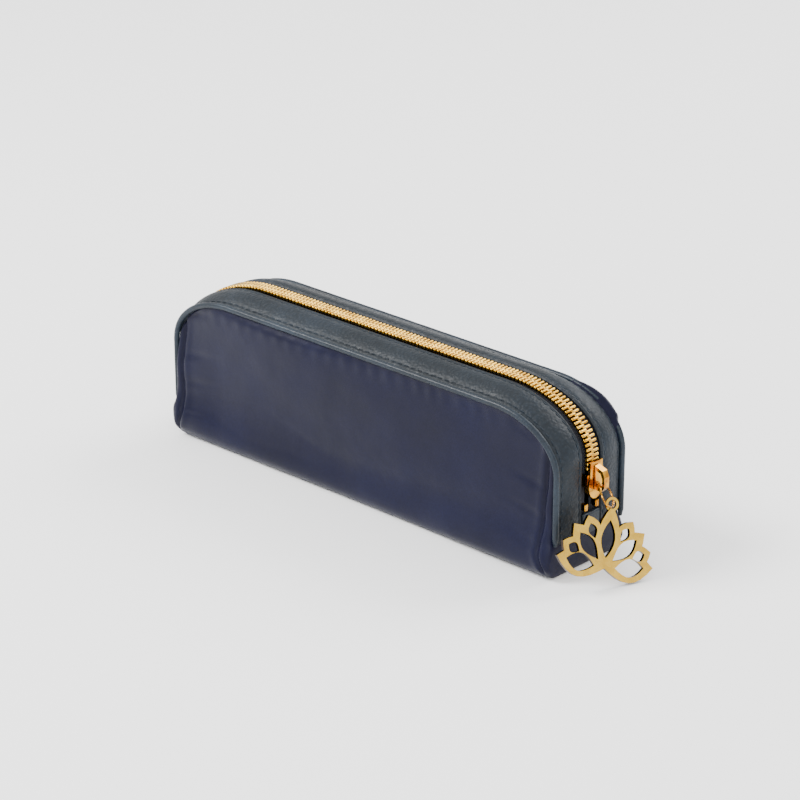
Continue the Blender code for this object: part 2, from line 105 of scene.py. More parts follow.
# Nylon shell
WALL_DEPTH = 16.5 * MM
WALL_BULGE = 1.7 * MM
END_PUFF = 1.7 * MM
END_SWELL = 0.6
EDGE_ROUND = 5 * MM
EDGE_TUCK = 3 * MM
LOW_SAG = 1.8 * MM
CORNER_PUFF = 3.2 * MM
CORNER_SPREAD = 1.9 * MM
NYLON_THICKNESS = 0.7 * MM
DEEPEST_FOLD = 1.1 * MM
FOAM_INSET = 2.4 * MM
LINING_INSET = 4.6 * MM
DART_INSET = 6.6 * MM
NOTCH_HALF_WIDTH = 9.3 * MM
NOTCH_BOTTOM = 16.5 * MM
NOTCH_REACH = 6 * MM
SHELL_TOP_GAP = 0.6 * MM
END_INSET = 1.5 * MM
UNDER_BAND_INSET = 0.9 * MM
CORNER_RADIUS = 1.5 * MM
BULGE_HEIGHT = 0.42
SAG_HEIGHT = 6 * MM
SAG_SPREAD = 8 * MM
FOAM_THICKNESS = 1.8 * MM
FOAM_TOP_GAP = 7 * MM
LINING_THICKNESS = 0.4 * MM
BASE_SHARES = (0.15, 0.4, 0.65, 0.85, 0.96)
BASE_SEAM_HALF_WIDTH = 0.5 * MM
BASE_SEAM_INSET = 12 * MM
# Steps along a long side, round a corner and along a short side
FINE_STEPS = (380, 5, 26)
COARSE_STEPS = (60, 3, 10)

# Folds of the outer cloth
SLACK_DEPTH = 1.0 * MM
RIPPLE_DEPTH = 0.22 * MM
DIAGONAL_DEPTH = 0.9 * MM
CREASE_HEIGHT = 16 * MM
CREASE_WANDER = 3 * MM
CREASE_WIDTH = 5 * MM
CREASE_DEPTH = 0.8 * MM
PUCKER_HEIGHTS = (49 * MM, 33 * MM, 22 * MM, 12 * MM)
PUCKER_SLOPE = 0.16
PUCKER_DEPTH = 0.45 * MM
GATHER_DEPTH = 0.13 * MM
GATHER_TURNS = 0.95
FOLD_LIFT = 0.3 * MM
DART_DEPTH = 1.1 * MM
DART_WIDTH = 0.65 * MM
DART_CURVE = 3.2 * MM
DART_LEAN = 1.3 * MM

# Zip
TOOTH_PITCH = 1.63 * MM
TAPE_INNER = 1.3 * MM
TAPE_WIDTH = 10.4 * MM
TAPE_STEPS = 12
TAPE_DEPTH = 1.95 * MM
TAPE_FOOT = 15.5 * MM
TAPE_THICKNESS = 0.5 * MM
TEETH_DEPTH = 0.15 * MM
TOOTH_SQUARENESS = 1.25
# Reach from the middle plane, half run along the zip and half rise, in millimetres
TOOTH_STATIONS = (
    (-0.55, 0.2, 0.25), (-0.4, 0.52, 0.6), (0.15, 0.6, 0.72), (0.9, 0.46, 0.66),
    (1.7, 0.55, 0.72), (2.5, 0.56, 0.74), (2.82, 0.46, 0.6), (2.95, 0.2, 0.25),
)
BODY_SIDES = 8
TAB_INSET = 0.15 * MM
TAB_STEPS = 20

# Camera and lights
CAMERA_AZIMUTH = math.radians(43.15)
CAMERA_ELEVATION = math.radians(23.02)
CAMERA_DISTANCE = 1.0814
CAMERA_SIDEWAYS = 0.003556
CAMERA_RISE = 0.031418
CAMERA_LENS = 136.4
CAMERA_SENSOR = 36
FLOOR_SIZE = 8
SKY_STRENGTH = 1.5
LIGHT_TARGET = (0, 0, 0.03)
# Name, size in metres, power in watts and place
LIGHTS = (
    ("key", 0.55, 30, (-0.75, -0.75, 1.0)),
    ("fill", 0.8, 10, (0.9, -0.9, 0.7)),
    ("back", 0.8, 14, (0.2, 1.0, 0.9)),
)

# Colour ramps, as places and hexadecimal colours
BAND_STOPS = ((0.25, "070d12"), (0.5, "0e161d"), (0.8, "18222c"))
# The edging colours are a lighter copy of the band leather's colours. This is painted highlight for
# the light caught along the rolled piping edges and the folded tabs, and the thread takes the same
# colours.
EDGE_HIGHLIGHT_STOPS = ((0.25, "0c1319"), (0.5, "151e27"), (0.8, "222f3b"))
NYLON_STOPS = ((0.3, "07081a"), (0.5, "0a0b21"), (0.7, "0f112a"))
LINING_STOPS = ((0.2, "2b2d3a"), (0.5, "3a3d4c"), (0.8, "4a4e5e"))
FOAM_STOPS = ((0.2, "6a6a66"), (0.5, "7c7c77"), (0.8, "8e8e88"))
TAPE_STOPS = ((0.2, "0a0d16"), (0.5, "151a28"), (0.8, "232a3a"))


# Helpers

def linear(code):
    """Linear colour from a hexadecimal sRGB one."""
    values = []
    for start in (0, 2, 4):
        value = int(code[start:start + 2], 16) / 255
        values.append(value / 12.92 if value <= 0.04045 else ((value + 0.055) / 1.055) ** 2.4)
    return (*values, 1)


def smooth(low, high, value):
    share = min(max((value - low) / (high - low), 0), 1)
    return share * share * (3 - 2 * share)


def hump(value, centre, width):
    return math.exp(-((value - centre) / width) ** 2)


def add_object(name, mesh, material, body="pouch"):
    piece = bpy.data.objects.new(name, mesh)
    bpy.context.collection.objects.link(piece)
    mesh.materials.append(material)
    for face in mesh.polygons:
        face.use_smooth = True
    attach(piece, body)
    return piece


def grid_mesh(name, rows, closed=False, skip=None, uvs=None):
    """A mesh of rows of points, with a UV point in metres for each vertex."""
    wide = len(rows[0])
    points = [point for row in rows for point in row]
    faces = []
    for i in range(len(rows) - 1):
        for j in range(wide if closed else wide - 1):
            if skip and skip(i, j):
                continue
            after = (j + 1) % wide
            here = i * wide
            there = here + wide
            faces.append((here + j, here + after, there + after, there + j))
    mesh = bpy.data.meshes.new(name)
    mesh.from_pydata(points, [], faces)
    if uvs:
        flat = [uv for row in uvs for uv in row]
        layer = mesh.uv_layers.new(name="metres")
        for loop in mesh.loops:
            layer.data[loop.index].uv = flat[loop.vertex_index]
    mesh.update()
    return mesh


def turn_outward(mesh):
    shape = bmesh.new()
    shape.from_mesh(mesh)
    bmesh.ops.recalc_face_normals(shape, faces=shape.faces)
    shape.to_mesh(mesh)
    shape.free()


def thicken(piece, thickness):
    """Adds a thickness on the inner side."""
    solid = piece.modifiers.new("thickness", "SOLIDIFY")
    solid.thickness = thickness
    solid.offset = -1
    solid.use_even_offset = True


def bevel(piece, width, segments=3):
    edge = piece.modifiers.new("edges", "BEVEL")
    edge.width = width
    edge.segments = segments
    edge.limit_method = "ANGLE"
    edge.angle_limit = math.radians(35)


def over_path(half, top, corner, left_foot, right_foot):
    """A line up the -X end, over the top and down the +X end, as (x, z) pairs."""
    right = []
    left = []
    shoulder = top - corner[1]
    for step in range(END_STEPS):
        share = step / END_STEPS
        right.append((half, right_foot + (shoulder - right_foot) * share))
        left.append((-half, left_foot + (shoulder - left_foot) * share))
    for step in range(BEND_STEPS + 1):
        angle = math.radians(90) * step / BEND_STEPS
        x = half - corner[0] * (1 - math.cos(angle))
        z = top - corner[1] * (1 - math.sin(angle))
        right.append((x, z))
        left.append((-x, z))
    flat = half - corner[0]
    middle = [(-flat + 2 * flat * step / TOP_STEPS, top) for step in range(1, TOP_STEPS)]
    return left + middle + right[::-1]


def outward(path):
    normals = []
    for index in range(len(path)):
        before = path[max(index - 1, 0)]
        after = path[min(index + 1, len(path) - 1)]
        along = Vector((after[0] - before[0], after[1] - before[1])).normalized()
        normals.append(Vector((-along.y, along.x)))
    return normals


def band_line(y, height, left_foot=BAND_FOOT, right_foot=BAND_FOOT):
    """The line at distance y from the middle plane, raised along the normal by height."""
    ridge = over_path(HALF, RIDGE_TOP, RIDGE_CORNER, left_foot, right_foot)
    seam = over_path(HALF - SEAM_INSET, SEAM_TOP, SEAM_CORNER, left_foot, right_foot)
    across = max(abs(y) - BAND_INNER, 0) / (BAND_OUTER - BAND_INNER)
    fall = min(across, 1) ** 2
    points = []
    for (rx, rz), (sx, sz), normal in zip(ridge, seam, outward(ridge)):
        x = rx + (sx - rx) * fall + normal.x * height
        z = rz + (sz - rz) * fall + normal.y * height
        points.append(Vector((x, y, z)))
    return points


def lengths(points):
    total = [0]
    for before, after in zip(points, points[1:]):
        total.append(total[-1] + (after - before).length)
    return total


def spaced(points, pitch, start=0):
    """Points and directions at even steps along a line."""
    total = lengths(points)
    found = []
    index = 0
    at = start
    while at < total[-1]:
        while total[index + 1] < at:
            index += 1
        share = (at - total[index]) / (total[index + 1] - total[index])
        along = (points[index + 1] - points[index]).normalized()
        found.append((points[index].lerp(points[index + 1], share), along))
        at += pitch
    return found


# Nylon shell

def wall_tuck(z):
    """How far the wall curves in towards the base."""
    share = 1 - min(max(z, 0) / EDGE_ROUND, 1)
    return EDGE_TUCK * (1 - math.sqrt(max(1 - share * share, 0)))


def half_length(z, inset):
    """Half the shell's length at a height."""
    under_band = smooth(BAND_FOOT - 2 * MM, BAND_FOOT + 1.5 * MM, z)
    reach = HALF - END_INSET - UNDER_BAND_INSET * under_band
    shoulder = SEAM_TOP - SEAM_CORNER[1]
    if z > shoulder:
        rise = min((z - shoulder) / SEAM_CORNER[1], 1)
        reach -= SEAM_CORNER[0] * (1 - math.sqrt(max(1 - rise * rise, 0)))
    return reach - inset - wall_tuck(z) * 0.55


def half_depth(x, z, inset):
    """Half the shell's depth, with the walls' bulge and their sag near the base."""
    along = min(abs(x) / HALF, 1)
    up = (z / SEAM_TOP - BULGE_HEIGHT) / (1 - BULGE_HEIGHT)
    bulge = WALL_BULGE * (1 - along ** 4) * max(1 - up * up, 0)
    sag = LOW_SAG * (1 + 0.9 * along ** 2) * hump(z, SAG_HEIGHT, SAG_SPREAD)
    return WALL_DEPTH + bulge + sag - wall_tuck(z) - inset


def ring(z, inset, long_steps, bend_steps, short_steps):
    """A rounded rectangle at a height, counter-clockwise from the -X end of the front."""
    reach = half_length(z, inset)
    radius = CORNER_RADIUS + wall_tuck(z) * 0.6
    points = []
    flat = reach - radius
    for side in (-1, 1):
        for step in range(long_steps):
            x = side * flat * (1 - 2 * step / long_steps)
            points.append((x, side * half_depth(x, z, inset)))
        depth = half_depth(flat, z, inset)
        for step in range(bend_steps):
            angle = math.radians(90) * step / bend_steps
            x = -side * (flat + radius * math.sin(angle))
            points.append((x, side * (depth - radius * (1 - math.cos(angle)))))
        for step in range(short_steps):
            y = side * (depth - radius) * (1 - 2 * step / short_steps)
            points.append((-side * reach, y))
        for step in range(bend_steps):
            angle = math.radians(90) * step / bend_steps
            x = -side * (flat + radius * math.cos(angle))
            points.append((x, -side * (depth - radius * (1 - math.sin(angle)))))
    return points


def fabric_offset(x, z, side):
    """Wrinkles and slack of the outer cloth, along the outward direction."""
    seed = Vector((x * 22, side * 3.7, z * 30))
    rise = SLACK_DEPTH * noise.noise(seed)
    rise += RIPPLE_DEPTH * noise.noise(Vector((x * 75, side * 8.1, z * 95)))
    diagonal = x * 30 + z * 62 + side * 0.8
    rise += DIAGONAL_DEPTH * math.sin(diagonal) * smooth(4 * MM, 20 * MM, z)
    crease_height = CREASE_HEIGHT + CREASE_WANDER * math.sin(x * 26 + side)
    rise -= CREASE_DEPTH * hump(z, crease_height, CREASE_WIDTH)
    to_end = HALF - DART_INSET - abs(x)
    for height in PUCKER_HEIGHTS:
        pull = hump(z, height + to_end * PUCKER_SLOPE, 1.5 * MM) * hump(to_end, 5 * MM, 7 * MM)
        rise -= PUCKER_DEPTH * pull
    gather = math.sin(x / MM * GATHER_TURNS + 2.2 * noise.noise(Vector((x * 60, side, 0))))
    rise += GATHER_DEPTH * gather * smooth(SEAM_TOP - 9 * MM, SEAM_TOP - 2 * MM, z)
    calm = 1 - smooth(SEAM_TOP - 4 * MM, SEAM_TOP, z)
    rise = max(rise, -DEEPEST_FOLD) + FOLD_LIFT
    return rise * smooth(0, 4 * MM, z) * calm


def dart_depth(x, z):
    """The groove and puffs of the seam that runs down near each end of a long wall."""
    curve = DART_CURVE * (1 - smooth(2 * MM, 11 * MM, z))
    lean = DART_LEAN * smooth(10 * MM, 45 * MM, z)
    line = HALF - DART_INSET + curve + lean
    away = abs(x) - line
    groove = DART_DEPTH * hump(away, 0, DART_WIDTH)
    puff = 0.35 * MM * hump(away, 1.9 * MM, 1.3 * MM)
    puff += 0.3 * MM * hump(away, -1.8 * MM, 1.6 * MM)
    return puff - groove


def end_puff(x, z):
    """How far the cloth swells past the piping at the end away from the slider."""
    along = smooth(HALF - 26 * MM, HALF - 3 * MM, -x)
    low = smooth(2 * MM, 14 * MM, z)
    high = 1 - smooth(SEAM_TOP - 30 * MM, SEAM_TOP - 12 * MM, z)
    return END_PUFF * along * low * high


def corner_puff(x, z, side):
    """How far the cloth swells past the piping at the back's top corner over the slider."""
    if x < 0 or side < 0:
        return Vector((0, 0, 0))
    across = (abs(x) - (HALF - SEAM_INSET - SEAM_CORNER[0])) / SEAM_CORNER[0]
    up = (z - (SEAM_TOP - SEAM_CORNER[1])) / SEAM_CORNER[1]
    if across <= 0 or up <= 0:
        return Vector((0, 0, 0))
    angle = math.atan2(up, across)
    near = smooth(0.5, 0.98, math.hypot(across, up))
    share = near * math.sin(2 * angle) ** 0.7
    push = CORNER_PUFF * share
    return Vector((push * 0.75, CORNER_SPREAD * share, push * 0.6))


def shell_rows(inset, heights, detail, steps):
    """Rings from the middle of the base outward and then up the walls."""
    rows = []
    base = ring(0, inset, *steps)
    deep = half_depth(0, 0, inset)
    base_length = HALF - BASE_SEAM_INSET
    for share in BASE_SHARES:
        trim = (1 - share) * (deep - BASE_SEAM_HALF_WIDTH)
        long_share = (base_length - trim) / base_length
        rows.append([
            Vector((x * long_share, y * (deep - trim) / deep, inset)) for x, y in base
        ])
    for z in heights:
        row = []
        for x, y in ring(z, inset, *steps):
            point = Vector((x, y, z + inset))
            if detail and abs(y) > WALL_DEPTH - EDGE_TUCK - 2 * MM:
                side = math.copysign(1, y)
                reach = half_length(z, inset)
                edge = 1 - smooth(reach - 3 * MM, reach, abs(x))
                push = fabric_offset(x, z, side) * edge + end_puff(x, z)
                if z < SEAM_TOP - SEAM_CORNER[1] * 0.45:
                    push += dart_depth(x, z) * smooth(1.5 * MM, 5 * MM, z)
                point.y += side * push
            if detail and abs(y) > WALL_DEPTH - 1.3 * MM:
                point += corner_puff(x, z, math.copysign(1, y))
            if detail and x < 0:
                beside_zip = smooth(NOTCH_HALF_WIDTH, WALL_DEPTH, abs(y))
                point.x -= END_SWELL * end_puff(x, z) * beside_zip
            row.append(point)
        rows.append(row)
    return rows


def notch(rows):
    """Leaves the ends open behind the zip."""
    def skip(i, j):
        point = rows[i][j]
        return (
            point.z > NOTCH_BOTTOM
            and abs(point.y) < NOTCH_HALF_WIDTH
            and abs(point.x) > half_length(point.z, 0) - NOTCH_REACH
        )
    return skip


def bag_mesh(name, rows, uvs=None):
    """A mesh of rings with open ends behind the zip and a closed base."""
    mesh = grid_mesh(name, rows, True, notch(rows), uvs)
    cap_base(mesh, len(rows[0]))
    turn_outward(mesh)
    return mesh


def build_shell(nylon, foam, lining):
    top = SEAM_TOP - SHELL_TOP_GAP
    low = [EDGE_ROUND * (1 - math.cos(math.radians(90) * step / 12)) for step in range(13)]
    high = [EDGE_ROUND + (top - EDGE_ROUND) * step / 58 for step in range(1, 59)]
    rows = shell_rows(0, low + high, True, FINE_STEPS)
    around = lengths(rows[20])
    wide = len(rows[0])
    uvs = []
    down = 0
    for index, row in enumerate(rows):
        if index:
            down += (row[wide // 4] - rows[index - 1][wide // 4]).length
        uvs.append([(at, down) for at in around])
    mesh = bag_mesh("nylon_shell", rows, uvs)
    shell = add_object("nylon_shell", mesh, nylon)
    thicken(shell, NYLON_THICKNESS)
    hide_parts("front_panel", "back_panel", "base_panel", "left_end_panel", "right_end_panel")

    heights = [step * (top - FOAM_TOP_GAP) / 22 for step in range(23)]
    rows = shell_rows(FOAM_INSET, heights, False, COARSE_STEPS)
    mesh = bag_mesh("foam_core", rows)
    core = add_object("foam_core", mesh, foam)
    thicken(core, FOAM_THICKNESS)
    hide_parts("foam_front", "foam_back", "foam_base")

    rows = shell_rows(LINING_INSET, heights, False, COARSE_STEPS)
    mesh = bag_mesh("lining_bag", rows)
    bag = add_object("lining_bag", mesh, lining)
    thicken(bag, LINING_THICKNESS)
    ends = ("lining_left_end", "lining_right_end")
    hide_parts("lining_front", "lining_back", "lining_base", *ends)


def cap_base(mesh, wide):
    """Closes the middle of the base across the first row."""
    shape = bmesh.new()
    shape.from_mesh(mesh)
    shape.verts.ensure_lookup_table()
    shape.faces.new([shape.verts[index] for index in range(wide)])
    shape.to_mesh(mesh)
    shape.free()


# Leather bands, stitches and piping

def band_height(distance):
    """The padded profile of a band across its width, seen from the middle plane outward."""
    near, far = STITCH_ROWS
    between = min(max((distance - near) / (far - near), 0), 1)
    height = BAND_PAD * math.sin(math.pi * between) ** 0.6
    height -= 0.12 * MM * (hump(distance, near, 0.5 * MM) + hump(distance, far, 0.5 * MM))
    height += 0.16 * MM * hump(distance, (BAND_INNER + near) / 2, 0.6 * MM)
    height -= 0.55 * MM * hump(distance, BAND_INNER, 0.35 * MM)
    height -= 0.35 * MM * smooth(far + 0.5 * MM, BAND_OUTER, distance)
    return height


def build_band(side, leather):
    columns = []
    for step in range(BAND_STEPS + 1):
        distance = BAND_INNER + (BAND_OUTER - BAND_INNER) * step / BAND_STEPS
        line = band_line(side * distance, 0)
        raised = band_line(side * distance, 1 * MM)
        total = lengths(line)
        row = []
        for index, (point, above) in enumerate(zip(line, raised)):
            normal = (above - point).normalized()
            place = Vector((total[index] * 40, side * distance * 90, side * 3))
            slack = BAND_SLACK * noise.noise(place)
            row.append(point + normal * (band_height(distance) + slack))
        columns.append(row)
    name = "leather_band_front" if side < 0 else "leather_band_back"
    mesh = grid_mesh(name, columns)
    upward = sum(face.normal.z for face in mesh.polygons)
    if upward < 0:
        mesh.flip_normals()
    node = "band_front" if side < 0 else "band_back"
    band = add_object(name, mesh, leather)
    thicken(band, BAND_THICKNESS)
    bevel(band, BAND_EDGE_BEVEL)
    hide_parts(node)


def skin_rings(faces, start, rings):
    """Joins rings of points into a closed body."""
    for index in range(rings - 1):
        for step in range(BODY_SIDES):
            a = start + index * BODY_SIDES + step
            b = start + index * BODY_SIDES + (step + 1) % BODY_SIDES
            faces.append((a, b, b + BODY_SIDES, a + BODY_SIDES))
    last = start + (rings - 1) * BODY_SIDES
    faces.append(tuple(start + step for step in range(BODY_SIDES)))
    faces.append(tuple(last + step for step in reversed(range(BODY_SIDES))))


def add_stitch(points, faces, centre, along, normal):
    """A short rounded thread with its ends pulled down into the leather."""
    across = along.cross(normal).normalized()
    start = len(points)
    for share, size, lift in STITCH_STATIONS:
        for step in range(BODY_SIDES):
            angle = math.radians(360 / BODY_SIDES * step)
            rise = math.sin(angle) * size * STITCH_FLATNESS + lift
            offset = across * math.cos(angle) * size + normal * rise
            points.append(centre + along * (share * STITCH_LENGTH) + offset * STITCH_RADIUS)
    skin_rings(faces, start, len(STITCH_STATIONS))


def build_stitches(side, thread):
    points = []
    faces = []
    for distance in STITCH_ROWS:
        lift = band_height(distance) + STITCH_LIFT
        line = band_line(side * distance, lift)
        raised = band_line(side * distance, lift + 1 * MM)
        pitch_above = STITCH_PITCH * lengths(raised)[-1] / lengths(line)[-1]
        marks = spaced(line, STITCH_PITCH, STITCH_PITCH * STITCH_FIRST)
        tops = spaced(raised, pitch_above, pitch_above * STITCH_FIRST)
        for (centre, along), top in zip(marks, tops):
            normal = (top[0] - centre).normalized()
            add_stitch(points, faces, centre, along, normal)
    name = "stitches_front" if side < 0 else "stitches_back"
    mesh = bpy.data.meshes.new(name)
    mesh.from_pydata(points, [], faces)
    turn_outward(mesh)
    add_object(name, mesh, thread)


def tube_mesh(name, line, radius_at):
    """A round tube along a line, closed at both ends."""
    rows = []
    for index, point in enumerate(line):
        before = line[max(index - 1, 0)]
        after = line[min(index + 1, len(line) - 1)]
        along = (after - before).normalized()
        side = Vector((0, 1, 0))
        up = side.cross(along).normalized()
        radius = radius_at(index)
        rows.append([
            point + (side * math.cos(angle) + up * math.sin(angle)) * radius
            for angle in (2 * math.pi * step / PIPING_SIDES for step in range(PIPING_SIDES))
        ])
    mesh = grid_mesh(name, rows, True)
    shape = bmesh.new()
    shape.from_mesh(mesh)
    shape.verts.ensure_lookup_table()
    last = (len(rows) - 1) * PIPING_SIDES
    for start in (0, last):
        shape.faces.new([shape.verts[start + step] for step in range(PIPING_SIDES)])
    shape.to_mesh(mesh)
    shape.free()
    turn_outward(mesh)
    return mesh


def build_piping(side, leather):
    seam = over_path(HALF - SEAM_INSET, SEAM_TOP, SEAM_CORNER, BAND_FOOT, BAND_FOOT)
    line = [Vector((x, side * PIPING_Y, z)) for x, z in seam]
    total = lengths(line)

    def radius_at(index):
        end = min(index, len(line) - 1 - index)
        taper = PIPING_END_TAPER if end == 0 else 1
        unevenness = 0.035 * noise.noise(Vector((total[index] * 160, side, 0)))
        return PIPING_RADIUS * taper * (1 + unevenness)

    node = "piping_front" if side < 0 else "piping_back"
    mesh = tube_mesh("rolled_edge_front" if side < 0 else "rolled_edge_back", line, radius_at)
    piece = add_object(mesh.name, mesh, leather)
    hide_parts(node)


# Zip

def build_tape(side, tape):
    columns = []
    for step in range(TAPE_STEPS + 1):
        distance = TAPE_INNER + TAPE_WIDTH * step / TAPE_STEPS
        columns.append(band_line(side * distance, -TAPE_DEPTH, TAPE_FOOT, TAPE_FOOT))
    name = "woven_tape_front" if side < 0 else "woven_tape_back"
    around = lengths(columns[5])
    uvs = [
        [(at, TAPE_WIDTH * step / TAPE_STEPS) for at in around]
        for step in range(TAPE_STEPS + 1)
    ]
    mesh = grid_mesh(name, columns, False, None, uvs)
    if sum(face.normal.z for face in mesh.polygons) < 0:
        mesh.flip_normals()
    node = "zip_tape_front" if side < 0 else "zip_tape_back"
    piece = add_object(name, mesh, tape)
    thicken(piece, TAPE_THICKNESS)
    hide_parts(node)


def add_tooth(points, faces, centre, along, normal, side):
    """A cast tooth with a waist and a rounded head that meshes with the other row."""
    across = Vector((0, side, 0))
    start = len(points)
    for reach, half_run, half_rise in TOOTH_STATIONS:
        for step in range(BODY_SIDES):
            angle = math.radians(360 / BODY_SIDES * (step + 0.5))
            run = max(min(TOOTH_SQUARENESS * math.cos(angle), 1), -1) * half_run * MM
            rise = max(min(TOOTH_SQUARENESS * math.sin(angle), 1), -1) * half_rise * MM
            points.append(centre + across * (reach * MM) + along * run + normal * rise)
    skin_rings(faces, start, len(TOOTH_STATIONS))


def build_teeth(side, metal):
    line = band_line(0, -TEETH_DEPTH, CHAIN_LEFT_FOOT, CHAIN_RIGHT_FOOT)
    points = []
    faces = []
    start = TOOTH_PITCH * (0.5 if side < 0 else 1)
    for centre, along in spaced(line, TOOTH_PITCH, start):
        normal = Vector((-along.z, 0, along.x))
        add_tooth(points, faces, centre, along, normal, side)
    name = "zip_teeth_front" if side < 0 else "zip_teeth_back"
    mesh = bpy.data.meshes.new(name)
    mesh.from_pydata(points, [], faces)
    turn_outward(mesh)
    node = "zip_chain_front" if side < 0 else "zip_chain_back"
    piece = add_object(name, mesh, metal)
    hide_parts(node)


def build_tab(side, leather):
    """A leather tab folded over the end of the zip, with its fold at the top."""
    node = "zip_tab_left" if side < 0 else "zip_tab_right"
    low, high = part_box(node)
    middle = (low.x + high.x) / 2
    half = (high.x - low.x) / 2 - TAB_INSET
    outline = [(middle - half, low.z), (middle - half, high.z - half)]
    for step in range(1, 8):
        angle = math.radians(180 - 22.5 * step)
        x = middle + half * math.cos(angle)
        outline.append((x, high.z - half + half * math.sin(angle)))
    outline += [(middle + half, high.z - half), (middle + half, low.z)]
    rows = []
    for step in range(TAB_STEPS + 1):
        share = step / TAB_STEPS
        y = low.y + (high.y - low.y) * share
        swell = 1 - 0.1 * (2 * share - 1) ** 2
        rows.append([Vector((middle + (x - middle) * swell, y, z)) for x, z in outline])
    mesh = grid_mesh("folded_tab_left" if side < 0 else "folded_tab_right", rows)
    shape = bmesh.new()
    shape.from_mesh(mesh)
    bmesh.ops.holes_fill(shape, edges=[edge for edge in shape.edges if edge.is_boundary])
    bmesh.ops.recalc_face_normals(shape, faces=shape.faces)
    shape.to_mesh(mesh)
    shape.free()
    piece = add_object(mesh.name, mesh, leather)
    bevel(piece, 0.2 * MM)
    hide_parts(node)


def finish_metal(gold, charm_gold):
    """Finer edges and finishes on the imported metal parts, whose shapes are kept."""
    finishes = {
        "slider_body": gold, "slider_bail": gold, "jump_ring": gold, "lotus_charm": charm_gold,
        "top_stop_front": gold, "top_stop_back": gold, "bottom_stop": gold,
    }
    for node, material in finishes.items():
        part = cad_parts[node]
        for index in range(len(part.material_slots)):
            part.material_slots[index].material = material
        if not part.material_slots:
            part.data.materials.append(material)
        if node == "jump_ring":
            smoother = part.modifiers.new("smooth", "SUBSURF")
            smoother.levels = 2
            smoother.render_levels = 2
        elif node == "lotus_charm":
            bevel(part, 0.14 * MM, 2)
        elif node == "slider_bail":
            bevel(part, 0.42 * MM, 4)
        elif node == "slider_body":
            bevel(part, 0.25 * MM)


# Materials

class Shader:
    """A Principled material and short ways to add its nodes."""

    def __init__(self, name, colour, roughness, metallic=0.0):
        self.material = bpy.data.materials.new(name)
        self.material.use_nodes = True
        self.nodes = self.material.node_tree.nodes
        self.links = self.material.node_tree.links
        self.surface = self.nodes["Principled BSDF"]
        self.surface.inputs["Base Color"].default_value = linear(colour)
        self.surface.inputs["Roughness"].default_value = roughness
        self.surface.inputs["Metallic"].default_value = metallic
        self.coordinates = self.nodes.new("ShaderNodeTexCoord")
        self.bumps = None

    def noise(self, size, detail=3.0):
        texture = self.nodes.new("ShaderNodeTexNoise")
        texture.inputs["Scale"].default_value = 1 / size
        texture.inputs["Detail"].default_value = detail
        self.links.new(self.coordinates.outputs["Object"], texture.inputs["Vector"])
        return texture.outputs["Fac"]

    def cells(self, size):
        texture = self.nodes.new("ShaderNodeTexVoronoi")
        texture.feature = "SMOOTH_F1"
        texture.inputs["Scale"].default_value = 1 / size
        self.links.new(self.coordinates.outputs["Object"], texture.inputs["Vector"])
        return texture.outputs["Distance"]

    def wave(self, pitch, direction):
        """Threads at a pitch across the UV map, which is in metres."""
        texture = self.nodes.new("ShaderNodeTexWave")
        texture.wave_type = "BANDS"
        texture.bands_direction = direction
        texture.wave_profile = "SIN"
        texture.inputs["Scale"].default_value = math.pi * 0.1 / pitch
        texture.inputs["Distortion"].default_value = 0.25
        self.links.new(self.coordinates.outputs["UV"], texture.inputs["Vector"])
        return texture.outputs["Fac"]

    def math(self, operation, first, second):
        step = self.nodes.new("ShaderNodeMath")
        step.operation = operation
        for socket, value in zip(step.inputs, (first, second)):
            if isinstance(value, (int, float)):
                socket.default_value = value
            else:
                self.links.new(value, socket)
        return step.outputs[0]

    def spread(self, value, low, high, to_low, to_high):
        step = self.nodes.new("ShaderNodeMapRange")
        names = ("From Min", "From Max", "To Min", "To Max")
        for name, number in zip(names, (low, high, to_low, to_high)):
            step.inputs[name].default_value = number
        self.links.new(value, step.inputs["Value"])
        return step.outputs["Result"]

    def colours(self, value, stops):
        ramp = self.nodes.new("ShaderNodeValToRGB")
        entries = ramp.color_ramp.elements
        while len(entries) < len(stops):
            entries.new(0.5)
        for entry, (place, colour) in zip(entries, stops):
            entry.position = place
            entry.color = linear(colour)
        self.links.new(value, ramp.inputs["Fac"])
        self.links.new(ramp.outputs["Color"], self.surface.inputs["Base Color"])

    def bump(self, value, depth, strength):
        step = self.nodes.new("ShaderNodeBump")
        step.inputs["Distance"].default_value = depth
        step.inputs["Strength"].default_value = strength
        self.links.new(value, step.inputs["Height"])
        if self.bumps:
            self.links.new(self.bumps.outputs["Normal"], step.inputs["Normal"])
        self.bumps = step
        self.links.new(step.outputs["Normal"], self.surface.inputs["Normal"])

    def roughness(self, value, low, high):
        result = self.spread(value, 0.25, 0.75, low, high)
        self.links.new(result, self.surface.inputs["Roughness"])


def nylon_material():
    shader = Shader("satin_nylon", NYLON_STOPS[1][1], 0.34)
    shader.surface.inputs["Specular IOR Level"].default_value = 0.14
    cloud = shader.noise(0.03, 4)
    fibre = shader.noise(0.0006, 2)
    broad = shader.math("MULTIPLY", cloud, 0.6)
    shader.colours(shader.math("ADD", broad, shader.math("MULTIPLY", fibre, 0.4)), NYLON_STOPS)
    shader.roughness(cloud, 0.3, 0.42)
    warp = shader.wave(0.00042, "X")
    weft = shader.wave(0.00042, "Y")
    shader.bump(shader.math("MULTIPLY", warp, weft), 0.00004, 0.6)
    shader.bump(shader.noise(0.009, 3), 0.0004, 0.35)
    return shader.material


